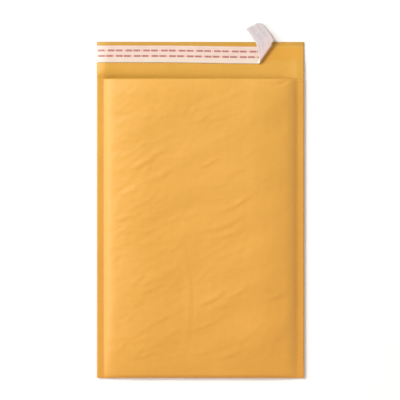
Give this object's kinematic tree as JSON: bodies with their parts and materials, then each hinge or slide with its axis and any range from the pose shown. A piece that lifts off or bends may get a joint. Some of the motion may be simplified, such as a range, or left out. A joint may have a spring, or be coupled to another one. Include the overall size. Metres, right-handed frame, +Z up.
{
  "type": "padded envelope",
  "caption": "Kraft paper padded envelope with a bubble-lined pocket and a self-seal flap whose release liner is partly peeled.",
  "frame": {"origin": "middle of the back panel's flat outer face, which rests on a surface", "axes": "+X across the width, +Y from the folded bottom to the flap, +Z up from the back panel to the front panel"},
  "size_m": [0.1842, 0.3153, 0.0112],
  "materials": {
    "kraft": "machine-glazed kraft paper, fine fibres",
    "bubble_film": "clear bubble film with a hazy surface",
    "adhesive": "clear amber hot-melt adhesive",
    "liner_film": "satin release-coated film with small pinkish marks"
  },
  "bodies": {
    "root": {"kraft_paper": "kraft", "bubble_lining": "bubble_film", "adhesive_strip": "adhesive", "release_liner": "liner_film"}
  },
  "joints": []
}
